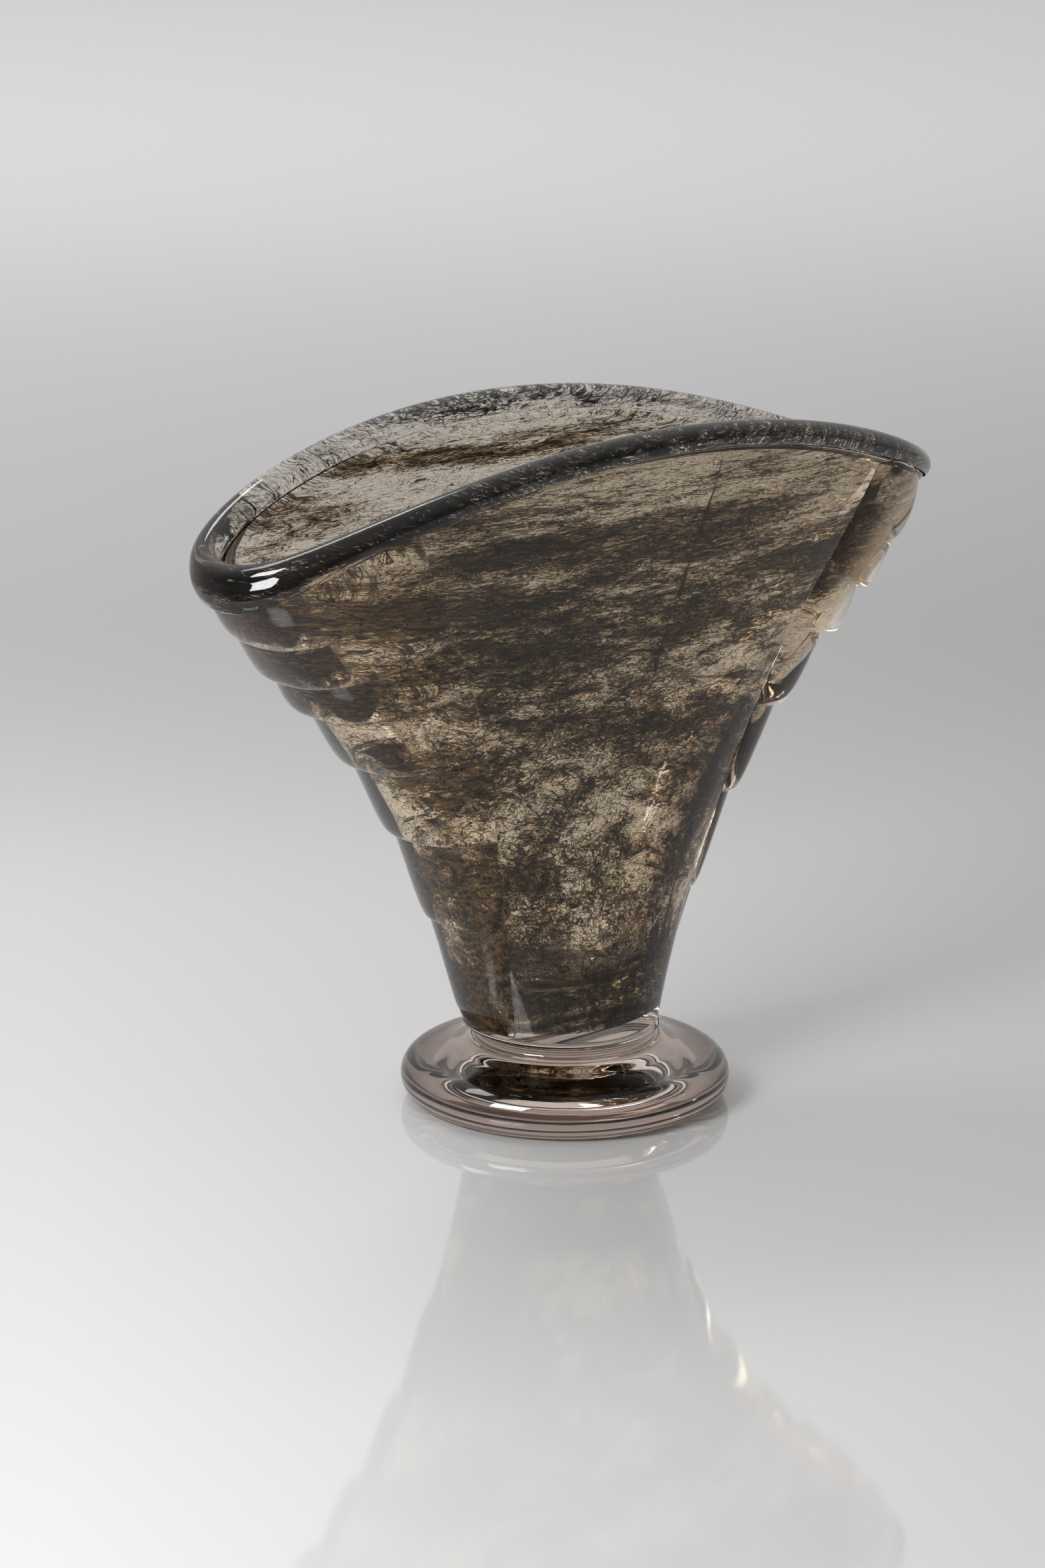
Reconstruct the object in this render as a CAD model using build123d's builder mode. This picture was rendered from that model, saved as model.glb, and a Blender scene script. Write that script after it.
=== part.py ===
from build123d import *
from math import cos, pi, radians, sin
import os

# A fan vase of thick hot-worked glass, standing on a round foot.
# X runs along the fan, Y through its depth and Z up, from the centre of the ground base.

# Foot, a thick disc with a round edge and a flat ground base
foot_radius = 48.0
base_radius = 43.0
foot_edge_height = 6.5
shoulder_radius = 41.5
shoulder_height = 13.3
foot_height = 18.0
foot_neck_radius = 28.0
foot_sweep_radius = 33.0
foot_sweep_height = 15.6

# Collar, the small ring of clear glass that joins the body to the foot
collar_height = 3.5
collar_radius = 27.4
collar_waist_radius = 26.2

# Fan body: its height, half length and half depth each follow one cubic curve from heel to crown
body_base = foot_height + collar_height
heel_radius = 28.2
casing_round = 2.4
waist_height = 119.5
waist_half_length = 56.5
waist_half_depth = 25.8
flare_height = 132.0
flare_half_length = 94.7
flare_half_depth = 31.9
crown_height = 204.0
crown_half_length = 165.0
crown_half_depth = 44.8
heel_lean = -1.9
rim_lean = 5.0
squareness_shares = (2.0, 2.7, 2.8, 2.1)

# Rim: the fan's arch, and the round bead laid along it
rim_height = 197.5
arch_radius = 304.0
bead_radius = 4.3
bead_seat = 2.6
joint_gap = 0.05

# The wall's three layers of glass, from the outside in, and their floors
casing_thickness = 3.4
filament_thickness = 0.6
lining_thickness = 3.5
casing_floor = 4.5
lining_floor = 11.0
end_inset_share = 1.35
filament_round = 7.0
cavity_round = 9.0

# Ribbed panels, one pressed onto each narrow end
panel_base = 25.0
panel_top = 164.0
panel_base_half_width = 11.5
panel_top_half_width = 32.0
panel_thickness = 8.5
panel_seat = 5.0
panel_tilt = 22.0
crease_shares = (0.0, 0.25, 0.45, 0.62, 0.755, 0.835, 0.915, 1.0)
belly_shares = (0.34, 0.48, 0.62, 0.78, 1.0, 1.0, 0.72)
crease_depth_share = 0.42
rib_height_shares = (0.0, 0.2, 0.6, 1.0)
rib_swell_shares = (0.0, 1.0, 0.8, 0.0)
panel_squareness_share = 2.6

# How finely the curves are sampled
section_points = 24
rim_points = 17
rib_points = 11
loft_stations = 8
heel_stations = 4
search_steps = 40
rim_step_share = 0.01


def curve(controls, t):
    """A cubic curve through the first and last of four values, drawn towards the middle two."""
    start, second, third, end = controls
    s = 1 - t
    return s**3 * start + 3 * s**2 * t * second + 3 * s * t**2 * third + t**3 * end


def height_at(t):
    return curve((body_base, waist_height, flare_height, crown_height), t)


def half_length_at(t, inset):
    lengths = (heel_radius, waist_half_length, flare_half_length, crown_half_length)
    return curve(lengths, t) - end_inset_share * inset


def half_depth_at(t, inset):
    depths = (heel_radius, waist_half_depth, flare_half_depth, crown_half_depth)
    return curve(depths, t) - inset


def lean_at(t):
    return curve((heel_lean, heel_lean, rim_lean, rim_lean), t)


def signed_power(value, power):
    return abs(value) ** power if value >= 0 else -(abs(value) ** power)


def fan_point(t, angle, inset):
    """A point of the section at t: a rounded oblong whose squareness also follows a curve."""
    power = 2 / curve(squareness_shares, t)
    x = half_length_at(t, inset) * signed_power(cos(angle), power) + lean_at(t)
    y = half_depth_at(t, inset) * signed_power(sin(angle), power)
    return x, y


def solve(rises, low=0.0, high=1.0):
    """The value between low and high where a rising function crosses zero, by halving."""
    for _ in range(search_steps):
        middle = (low + high) / 2
        if rises(middle) > 0:
            high = middle
        else:
            low = middle
    return (low + high) / 2


def station_at(height):
    return solve(lambda t: height_at(t) - height)


def arch_height(x):
    return rim_height - arch_radius + (arch_radius**2 - (x - rim_lean) ** 2) ** 0.5


def rim_point(angle, inset):
    """Where the wall, followed up at one angle, meets the arch."""
    t = solve(lambda t: height_at(t) - arch_height(fan_point(t, angle, inset)[0]))
    x, y = fan_point(t, angle, inset)
    return x, y, arch_height(x)


def bead_section(angle, inset):
    """A slice across the lip, square to the rim: a circle cut flat where it sits on the wall."""
    x, y, z = rim_point(angle, inset)
    ahead = Vector(*rim_point(angle + rim_step_share, inset))
    behind = Vector(*rim_point(angle - rim_step_share, inset))
    along = (ahead - behind).normalized()
    upright = Vector(x - rim_lean, 0, z - rim_height + arch_radius)
    with BuildSketch(Plane(origin=(x, y, z), x_dir=upright.cross(along), z_dir=along)) as slice_at_angle:
        with BuildLine():
            half_seat = (bead_radius**2 - bead_seat**2) ** 0.5
            outer = ThreePointArc((half_seat, -bead_seat), (bead_radius, 0), (0, bead_radius))
            inner = ThreePointArc(outer @ 1, (-bead_radius, 0), (-half_seat, -bead_seat))
            Line(inner @ 1, outer @ 0)
        make_face()
    return slice_at_angle.sketch


def fan_section(t, inset):
    """One level slice through the fan, drawn as a closed smooth curve."""
    with BuildSketch(Plane.XY.offset(height_at(t))) as slice_at_t:
        with BuildLine():
            angles = [2 * pi * k / section_points for k in range(section_points)]
            Spline([fan_point(t, angle, inset) for angle in angles], periodic=True)
        make_face()
    return slice_at_t.sketch


def heel_section(turn, inset, floor, heel_round):
    """A slice through the round heel, at one turn of its quarter circle."""
    t = station_at(floor + heel_round * (1 - cos(turn)))
    return fan_section(t, inset + heel_round * (1 - sin(turn)))


def whole_fan(inset, floor, heel_round):
    """A solid fan up to its crown, inset from the outer glass, with a round heel on floor."""
    first = station_at(floor + heel_round)
    turns = [pi / 2 * k / (heel_stations - 1) for k in range(heel_stations)]
    stations = [first + (1 - first) * k / (loft_stations - 1) for k in range(loft_stations)]
    with BuildPart() as whole:
        loft([heel_section(turn, inset, floor, heel_round) for turn in turns])
        loft([fan_section(t, inset) for t in stations])
    return whole.part


def fan_blank(inset, floor, heel_round):
    """The same solid fan with its top cut off under the arch."""
    with BuildPart() as blank:
        add(whole_fan(inset, floor, heel_round))
        add(under_arch, mode=Mode.INTERSECT)
    return blank.part


def rib_section(side, z, thickness):
    """One slice through a panel, round outside and closed by a chord inside the casing."""
    t = station_at(z)
    rise = (z - panel_base) / (panel_top - panel_base)
    half_width = panel_base_half_width + rise * (panel_top_half_width - panel_base_half_width)
    squareness = curve(squareness_shares, t)
    across = half_width / half_depth_at(t, 0)
    wrap = half_length_at(t, 0) * (1 - (1 - across**squareness) ** (1 / squareness))
    reach = wrap + thickness + panel_seat
    tilt = radians(panel_tilt * rise**4)
    tip = (side * half_length_at(t, 0) + lean_at(t), 0, z)
    along = (side * cos(tilt), 0, -sin(tilt))
    with BuildSketch(Plane(origin=tip, x_dir=along, z_dir=(side * sin(tilt), 0, cos(tilt)))) as slice_at_z:
        with BuildLine():
            angles = [pi * (k / (rib_points - 1) - 0.5) for k in range(rib_points)]
            power = 2 / panel_squareness_share
            ins = [reach * (signed_power(cos(angle), power) - 1) + thickness for angle in angles]
            outs = [half_width * signed_power(sin(angle), power) for angle in angles]
            edge = Spline(list(zip(ins, outs)))
            Line(edge @ 1, edge @ 0)
        make_face()
    return slice_at_z.sketch


def rib_sections(side, low, high, belly):
    """The slices of one rib, from its lower crease over its belly to its upper crease."""
    sections = []
    for height_share, swell_share in zip(rib_height_shares, rib_swell_shares):
        thickness = belly * (crease_depth_share + (1 - crease_depth_share) * swell_share)
        sections.append(rib_section(side, low + height_share * (high - low), thickness))
    return sections


def panel_blank(side):
    """The ribs of one end panel, lofted one above the other."""
    creases = [panel_base + share * (panel_top - panel_base) for share in crease_shares]
    with BuildPart() as blank:
        for low, high, belly_share in zip(creases, creases[1:], belly_shares):
            loft(rib_sections(side, low, high, belly_share * panel_thickness))
    return blank.part


# Foot: one turned profile, flat below, round at the edge and swept up to the collar
with BuildPart() as foot:
    with BuildSketch(Plane.XZ):
        with BuildLine():
            base = Line((0, 0), (base_radius, 0))
            TangentArc((foot_radius, foot_edge_height), base @ 1, tangent=(0, -1))
            upper_edge = TangentArc(
                (foot_radius, foot_edge_height), (shoulder_radius, shoulder_height), tangent=(0, 1)
            )
            rise = Spline(
                upper_edge @ 1,
                (foot_sweep_radius, foot_sweep_height),
                (foot_neck_radius, foot_height),
                tangents=[upper_edge % 1, (0, 1)],
            )
            top = Line(rise @ 1, (0, foot_height))
            Line(top @ 1, base @ 0)
        make_face()
    revolve(axis=Axis.Z)
foot.part.label = "foot"

# Collar: a ring drawn in at its waist, so that it reads apart from the body and the foot
with BuildPart() as collar:
    with BuildSketch(Plane.XZ):
        with BuildLine():
            floor = Line((0, foot_height), (collar_radius, foot_height))
            waist = ThreePointArc(
                floor @ 1,
                (collar_waist_radius, foot_height + collar_height / 2),
                (collar_radius, body_base),
            )
            roof = Line(waist @ 1, (0, body_base))
            Line(roof @ 1, floor @ 0)
        make_face()
    revolve(axis=Axis.Z)
collar.part.label = "collar"

# Everything under the seat of the lip: a great cylinder whose crown is the fan's arch
with BuildPart() as seat_cylinder:
    with BuildSketch(Plane.XZ.offset(-crown_half_length)):
        with Locations((rim_lean, rim_height - arch_radius)):
            Circle(arch_radius - bead_seat - joint_gap)
    extrude(amount=2 * crown_half_length)
under_arch = seat_cylinder.part

# Lip: half a bead lofted round the rim, mirrored in the fan's middle plane
wall = casing_thickness + filament_thickness + lining_thickness
with BuildPart() as lip:
    loft([bead_section(pi * k / (rim_points - 1), wall / 2) for k in range(rim_points)])
    mirror(about=Plane.XZ)
lip.part.label = "lip"

# The wall's layers: each is one fan blank with the next one taken out of it
filament_inset = casing_thickness
lining_inset = filament_inset + filament_thickness
filament_base = body_base + casing_floor
lining_base = filament_base + filament_thickness
outer_glass = fan_blank(0, body_base, casing_round)
filament_blank = fan_blank(filament_inset, filament_base, filament_round)
lining_blank = fan_blank(lining_inset, lining_base, filament_round)
cavity = fan_blank(wall, lining_base + lining_floor, cavity_round)

with BuildPart() as casing:
    add(outer_glass)
    add(filament_blank, mode=Mode.SUBTRACT)
casing.part.label = "casing"

with BuildPart() as filament_layer:
    add(filament_blank)
    add(lining_blank, mode=Mode.SUBTRACT)
filament_layer.part.label = "filament_layer"

with BuildPart() as lining:
    add(lining_blank)
    add(cavity, mode=Mode.SUBTRACT)
lining.part.label = "lining"

# Ribbed panels: pressed onto the ends, so the whole fan is taken out of their backs, to its crown
uncut_glass = whole_fan(0, body_base, casing_round)
with BuildPart() as left_panel:
    add(panel_blank(-1))
    add(uncut_glass, mode=Mode.SUBTRACT)
left_panel.part.label = "left_ribbed_panel"

with BuildPart() as right_panel:
    add(panel_blank(1))
    add(uncut_glass, mode=Mode.SUBTRACT)
right_panel.part.label = "right_ribbed_panel"

os.makedirs("parts", exist_ok=True)
for piece in (foot, collar, lip, casing, filament_layer, lining, left_panel, right_panel):
    export_step(piece.part, f"parts/{piece.part.label}.step")
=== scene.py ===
# %% [markdown]
# # A fan vase of thick hot-worked glass
# The vase is a flattened fan of two glass layers with a web of dark oxide filaments caught
# between them. A round bead runs along its arched rim, a ribbed panel is pressed onto each narrow
# end, and a collar and a thick round foot carry it. Nothing on it moves, so every piece rides on
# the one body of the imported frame.

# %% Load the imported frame
from math import cos, pi, radians, sin

import bpy
import numpy as np
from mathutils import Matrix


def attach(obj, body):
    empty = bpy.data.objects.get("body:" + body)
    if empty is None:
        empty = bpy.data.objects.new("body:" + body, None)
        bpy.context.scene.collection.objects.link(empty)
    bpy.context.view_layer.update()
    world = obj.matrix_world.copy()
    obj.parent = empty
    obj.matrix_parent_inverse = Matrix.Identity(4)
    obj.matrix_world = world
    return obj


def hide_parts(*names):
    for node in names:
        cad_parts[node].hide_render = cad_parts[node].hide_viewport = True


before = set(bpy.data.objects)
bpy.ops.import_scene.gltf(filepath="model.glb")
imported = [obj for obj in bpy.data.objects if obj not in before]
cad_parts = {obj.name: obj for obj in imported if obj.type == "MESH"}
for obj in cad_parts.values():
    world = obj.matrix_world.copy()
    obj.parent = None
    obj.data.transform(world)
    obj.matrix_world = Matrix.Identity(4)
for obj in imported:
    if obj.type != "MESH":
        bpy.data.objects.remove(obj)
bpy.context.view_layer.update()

MM = 0.001
print("nodes in the frame:", sorted(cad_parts))

# %% [markdown]
# ## The fan's form
# A glass fan is round at its heel and opens into a long flat mouth. One cubic curve each for the
# height, the half length, the half depth, the lean and the squareness of the section says all of
# it, and these are the same curves that the solid parts were made from. Every layer of the wall
# is that form again, set a little further in. Sizes here are in millimetres.

# %% Curves of the fan
HEIGHTS = (21.5, 119.5, 132.0, 204.0)
HALF_LENGTHS = (28.2, 56.5, 94.7, 165.0)
HALF_DEPTHS = (28.2, 25.8, 31.9, 44.8)
LEANS = (-1.9, -1.9, 5.0, 5.0)
SQUARENESS = (2.0, 2.7, 2.8, 2.1)
# The narrow ends are thicker than the faces by this factor.
END_INSET = 1.35
RIM_HEIGHT = 197.5
ARCH_RADIUS = 304.0
BEAD_RADIUS = 4.3
BEAD_SEAT = 2.6
HALVINGS = 40


def cubic(controls, t):
    """A cubic curve: it starts at the first value, ends at the last, and leans to the middle two."""
    start, second, third, end = controls
    s = 1 - t
    return s**3 * start + 3 * s**2 * t * second + 3 * s * t**2 * third + t**3 * end


def signed_power(value, power):
    """A power of the size of a value, with the value's own sign."""
    return np.sign(value) * np.abs(value) ** power


def fan(t, angle, inset):
    """A point of the fan: a rounded oblong (a superellipse) at height t, inset from the outside."""
    power = 2 / cubic(SQUARENESS, t)
    x = (cubic(HALF_LENGTHS, t) - END_INSET * inset) * signed_power(np.cos(angle), power) + cubic(LEANS, t)
    y = (cubic(HALF_DEPTHS, t) - inset) * signed_power(np.sin(angle), power)
    return np.stack(np.broadcast_arrays(x, y, cubic(HEIGHTS, t)), -1)


def solve(rising, shape):
    """Halves the span from 0 to 1 until a rising function crosses zero, for a whole array at once."""
    low, high = np.zeros(shape), np.ones(shape)
    for _ in range(HALVINGS):
        middle = (low + high) / 2
        over = rising(middle) > 0
        high = np.where(over, middle, high)
        low = np.where(over, low, middle)
    return (low + high) / 2


def station(height):
    """How far up the curves, from 0 to 1, a height lies."""
    height = np.asarray(height, float)
    return solve(lambda t: cubic(HEIGHTS, t) - height, height.shape)


def arch(x, drop):
    """The height of the fan's arch, or of the same arch lowered by drop, above x."""
    return RIM_HEIGHT - ARCH_RADIUS + np.sqrt((ARCH_RADIUS - drop) ** 2 - (x - LEANS[3]) ** 2)


def top_station(angle, inset, drop):
    """How far up the fan the wall meets the arch, at each angle."""
    def above_arch(t):
        points = fan(t, angle, inset)
        return points[..., 2] - arch(points[..., 0], drop)
    return solve(above_arch, np.shape(angle))


ends = np.array([0, pi])
print("the wall's two ends under the lip:", fan(top_station(ends, 0, BEAD_SEAT), ends, 0).round(1).tolist())

# %% [markdown]
# ## Meshes from grids
# Each piece is a grid of points that a formula gives, so one function can turn any grid into a
# mesh. Rows follow the profile and columns go round. A cup-shaped layer starts at a pole under
# its heel, goes up the outside, over the top and down the inside to a second pole. Modelling the
# layers by hand and thickening them would also work, but then neighbours would not meet so closely.

# %% Grid helpers
def quads(rows, columns, wrap):
    """The four corners of every face of a grid, numbered row by row."""
    right = columns if wrap else columns - 1
    row, column = np.meshgrid(np.arange(rows - 1), np.arange(right), indexing="ij")
    ahead = (column + 1) % columns
    corners = [row * columns + column, row * columns + ahead]
    corners += [(row + 1) * columns + ahead, (row + 1) * columns + column]
    return np.stack(corners, -1).reshape(-1, 4)


print("faces of a closed band of 2 rows and 6 columns:", len(quads(2, 6, True)))


# %% Meshes
def make_mesh(name, points, faces, slots, web_place=None):
    """A mesh object from points in millimetres, with a material slot for each face."""
    mesh = bpy.data.meshes.new(name)
    mesh.from_pydata((points * MM).tolist(), [], faces)
    mesh.polygons.foreach_set("material_index", np.asarray(slots, np.int32))
    mesh.polygons.foreach_set("use_smooth", np.full(len(faces), True))
    if web_place is not None:
        attribute = mesh.attributes.new("web_place", "FLOAT_VECTOR", "POINT")
        attribute.data.foreach_set("vector", web_place.ravel().astype(np.float32))
    mesh.validate()
    mesh.update()
    piece = bpy.data.objects.new(name, mesh)
    bpy.context.scene.collection.objects.link(piece)
    return piece


def shell_mesh(name, rows, row_slots, places=None, face_slots=None):
    """A closed skin: rows of points that wrap round, with a pole at each end."""
    rows = np.asarray(rows)
    count, columns = rows.shape[:2]
    points = np.concatenate([rows.reshape(-1, 3), rows[[0, -1]].mean(1)])
    faces = quads(count, columns, True)
    first = np.arange(columns)
    last = first + (count - 1) * columns
    pole = count * columns
    around = np.roll(first, -1)
    start = np.stack([np.full(columns, pole), around, first], -1)
    end = np.stack([np.full(columns, pole + 1), last, around + (count - 1) * columns], -1)
    slots = np.repeat(np.asarray(row_slots), columns) if face_slots is None else face_slots
    slots = np.concatenate([slots, np.full(columns, slots[0]), np.full(columns, slots[-1])])
    if places is not None:
        places = np.concatenate([places.reshape(-1, 3), places[[0, -1]].mean(1)])
    return make_mesh(name, points, faces.tolist() + start.tolist() + end.tolist(), slots, places)


# %% [markdown]
# ## Where the ribbed panels sit
# A panel is a pad that widens as it climbs the narrow end. Its edge is a seam, and the casing's
# columns are laid along that seam, so that the faces hidden under the pad can be told apart from
# the faces that meet the air. Bands of rows below, beside and above the pad do the same. A mask
# painted on the casing could tell them apart too, but its edge would be jagged.

# %% Seams and columns
PANEL_BASE = 25.0
PANEL_TOP = 164.0
PANEL_HALF_WIDTHS = (11.5, 32.0)
PANEL_TILT = 22.0
TILT_REACH = 40.0
TILT_POWER = 4
WIDEST_RISE = 1.2
SEAM_LIMIT = 0.98


def panel_rise(height):
    """The share of the panel's height that lies below a height, let run a little past its top."""
    return np.clip((height - PANEL_BASE) / (PANEL_TOP - PANEL_BASE), 0, WIDEST_RISE)


def seam_angle(t):
    """The angle at which the section is as deep as the panel is wide."""
    low, high = PANEL_HALF_WIDTHS
    width = low + (high - low) * panel_rise(cubic(HEIGHTS, t))
    share = np.clip(width / cubic(HALF_DEPTHS, t), 0, SEAM_LIMIT)
    return np.arcsin(share ** (cubic(SQUARENESS, t) / 2))


def tip_height(t, angle):
    """The height at which a crease through this point meets the panel's middle: creases near the
    rim tilt with it, and those lower down are level."""
    x, _, z = np.moveaxis(fan(t, angle, 0), -1, 0)
    inward = np.minimum(cubic(HALF_LENGTHS, t) - np.abs(x - cubic(LEANS, t)), TILT_REACH)
    tilt = np.radians(PANEL_TILT * np.minimum(panel_rise(z), 1) ** TILT_POWER)
    return z - np.tan(tilt) * inward


BASE_STATION = float(station(PANEL_BASE))
print("the panels start at a share of", round(BASE_STATION, 3), "of the way up the curves")


# %% Columns that follow the seams
def panel_grid(across, up, side):
    """Angles and stations over a panel: across runs from seam to seam and up from base to top."""
    middle = 0.0 if side > 0 else pi
    seam_top = solve(lambda t: tip_height(t, middle + seam_angle(t)) - PANEL_TOP, ())
    seam_stations = BASE_STATION + (seam_top - BASE_STATION) * up
    angle = middle + seam_angle(seam_stations)[:, None] * across[None, :]
    top_angle = middle + seam_angle(seam_top) * across
    top = solve(lambda t: tip_height(t, top_angle) - PANEL_TOP, across.shape)
    return angle, BASE_STATION + (top - BASE_STATION)[None, :] * up[:, None]


def casing_columns(up, panel_columns, face_columns):
    """Angles and stations of the casing beside the panels: right end, back, left end, front."""
    across = np.linspace(-1, 1, panel_columns + 1)
    share = np.linspace(0, 1, face_columns + 1)[None, 1:-1]
    right, right_t = panel_grid(across, up, 1)
    left, left_t = panel_grid(across, up, -1)
    back = right[:, -1:] + (left[:, :1] - right[:, -1:]) * share
    front = left[:, -1:] + (right[:, :1] + 2 * pi - left[:, -1:]) * share
    angle = np.concatenate([right, back, left, front], 1)
    seam_rim = top_station(right[-1, -1], 0, BEAD_SEAT)
    seam_share = (right_t[-1, -1] - BASE_STATION) / (seam_rim - BASE_STATION)

    def face_t(columns):
        top = BASE_STATION + (top_station(columns[-1], 0, BEAD_SEAT) - BASE_STATION) * seam_share
        return BASE_STATION + (top - BASE_STATION)[None, :] * up[:, None]

    t = np.concatenate([right_t, face_t(back), left_t, face_t(front)], 1)
    under_panel = np.zeros(angle.shape[1], bool)
    under_panel[:panel_columns] = True
    start = right.shape[1] + back.shape[1]
    under_panel[start:start + panel_columns] = True
    return angle, t, under_panel


PANEL_COLUMNS = 40
FACE_COLUMNS = 70
BESIDE_ROWS = 90
beside = np.linspace(0, 1, BESIDE_ROWS + 1)
casing_angle, casing_t, under_panel = casing_columns(beside, PANEL_COLUMNS, FACE_COLUMNS)
print("columns round the casing:", len(under_panel), "of which under a panel:", under_panel.sum())

# %% [markdown]
# ## The wall's layers
# The casing is the clear outer glass, the lining the clear inner glass, and the oxide web lies
# between them. Glass that was fused hot has no surface inside it, so the faces where two layers
# meet carry a finish that lets light straight through, and only the faces that meet the air bend
# it. A hair's gap keeps the two faces apart. The gather with the web on it was cased a little off
# centre, so the web and the faces that touch it are moved towards the left end, where the clear
# glass outside it is thinner. The web's heel is rounded more tightly than in the solid part, which
# lets it show as a dark band through the foot.

# %% Layer sizes and profiles
JOIN_GAP = 0.03
CASING_THICKNESS = 3.4
FILAMENT_THICKNESS = 0.6
LINING_THICKNESS = 3.5
WALL = CASING_THICKNESS + FILAMENT_THICKNESS + LINING_THICKNESS
CASING_ROUND = 2.4
FILAMENT_ROUND = 3.5
CAVITY_ROUND = 9.0
GLASS_UNDER_WEB = 4.5
GLASS_OVER_WEB = 11.0
FILAMENT_FLOOR = HEIGHTS[0] + GLASS_UNDER_WEB
CAVITY_FLOOR = FILAMENT_FLOOR + FILAMENT_THICKNESS + GLASS_OVER_WEB
WEB_OFFSET = np.array([-2.2, 0, 0])
HEEL_STEPS = 8
HEEL_RINGS = 6
POLE_SHARE = 0.08
LAYER_STEPS = 80
GLASS, JOIN, WEB = 0, 1, 2


def heel_rows(angle, inset, floor, round_over):
    """The round heel of a layer, from a small ring round its pole out and up a quarter circle."""
    ring = np.linspace(POLE_SHARE, 1, HEEL_RINGS)[:-1]
    inner = fan(station(floor), angle, inset + round_over)
    centre = inner.mean(0)
    flat = centre + (inner - centre)[None] * ring[:, None, None]
    turn = np.linspace(0, pi / 2, HEEL_STEPS)[:, None]
    t = station(floor + round_over * (1 - np.cos(turn)))
    curved = fan(t, angle[None, :], inset + round_over * (1 - np.sin(turn)))
    return np.concatenate([flat, curved])


def side_rows(angle, inset, first_height):
    """The side of a layer, from the top of its heel to the seat of the lip."""
    first = station(first_height)
    top = top_station(angle, inset, BEAD_SEAT + JOIN_GAP)
    share = np.linspace(0, 1, LAYER_STEPS + 1)[1:, None]
    return fan(first + (top - first)[None, :] * share, angle[None, :], inset)


def layer_rows(angle, inset, floor, round_over):
    """A layer's skin from its pole to the lip: its heel, then its side."""
    heel = heel_rows(angle, inset, floor, round_over)
    return np.concatenate([heel, side_rows(angle, inset, floor + round_over)])


def web_wall(angle, inset, floor):
    """A skin that follows the web: a layer with the web's heel, moved off centre with it."""
    return layer_rows(angle, inset, floor, FILAMENT_ROUND) + WEB_OFFSET


print("the wall is", WALL, "mm thick and its hollow starts at", CAVITY_FLOOR, "mm")

# %% [markdown]
# The casing's outside is laid in four bands: the heel, a strip below the panels, the band that the
# panels lie on, and a strip up to the lip. Its inside is one layer. The faces under the panels, the
# lip and the collar are joins, and so is all of its inside.

# %% Casing
LOWER_ROWS = 4
UPPER_ROWS = 12
lower_heel = heel_rows(casing_angle[0], 0, HEIGHTS[0] + JOIN_GAP, CASING_ROUND)
lower_t = np.linspace(station(HEIGHTS[0] + CASING_ROUND), BASE_STATION, LOWER_ROWS)[1:-1, None]
lower_band = fan(lower_t, casing_angle[:1], 0)
panel_band = fan(casing_t, casing_angle, 0)
upper_share = np.linspace(0, 1, UPPER_ROWS + 1)[1:, None]
upper_top = top_station(casing_angle[-1], 0, BEAD_SEAT + JOIN_GAP)
upper_band = fan(casing_t[-1:] + (upper_top - casing_t[-1:]) * upper_share, casing_angle[-1:], 0)
outside = np.concatenate([lower_heel, lower_band, panel_band, upper_band])
inside = web_wall(casing_angle[-1], CASING_THICKNESS, FILAMENT_FLOOR)[::-1]
casing_rows = np.concatenate([outside, inside])
casing_slots = np.full((len(casing_rows) - 1, casing_rows.shape[1]), JOIN)
casing_slots[:len(outside) - 1] = GLASS
casing_slots[:len(lower_heel) - HEEL_STEPS] = JOIN
band_start = len(lower_heel) + len(lower_band)
casing_slots[band_start:band_start + len(panel_band) - 1, under_panel] = JOIN
casing = shell_mesh("glass_casing", casing_rows, None, face_slots=casing_slots.ravel())
print("casing faces:", len(casing.data.polygons))

# %% [markdown]
# The lining is the inner gather. Its outside lies against the web, and its inside is the hollow of
# the vase, with a wide round floor over thick glass, as blown glass has.

# %% Lining
WALL_COLUMNS = 240
wall_angle = np.linspace(0, 2 * pi, WALL_COLUMNS, endpoint=False)
lining_inset = CASING_THICKNESS + FILAMENT_THICKNESS + JOIN_GAP
lining_outside = web_wall(wall_angle, lining_inset, FILAMENT_FLOOR + FILAMENT_THICKNESS)
lining_inside = layer_rows(wall_angle, WALL, CAVITY_FLOOR, CAVITY_ROUND)[::-1]
lining_rows = np.concatenate([lining_outside, lining_inside])
lining_slots = np.full(len(lining_rows) - 1, JOIN)
lining_slots[len(lining_outside):] = GLASS
lining = shell_mesh("glass_lining", lining_rows, lining_slots)
print("lining faces:", len(lining.data.polygons))

# %% [markdown]
# The web was rolled onto the first gather while that was a small drum, and was drawn out sideways
# as the mouth was opened into a fan. So every point of the web also remembers its place on the
# drum, and the pattern is laid there: the same threads come out fine at the heel and as long
# streaks at the rim. A pattern laid straight on the finished shape would be as coarse at the heel
# as at the rim.

# %% Oxide web
DRUM_RADIUS = 0.034
RIM_DRAW = 0.9
THREADS, HAZE = 0, 1
web_outside = web_wall(wall_angle, CASING_THICKNESS + JOIN_GAP, FILAMENT_FLOOR + JOIN_GAP)
web_top = FILAMENT_FLOOR + FILAMENT_THICKNESS - JOIN_GAP
web_inside = web_wall(wall_angle, CASING_THICKNESS + FILAMENT_THICKNESS, web_top)
web_rows = np.concatenate([web_outside, web_inside[::-1]])


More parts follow.
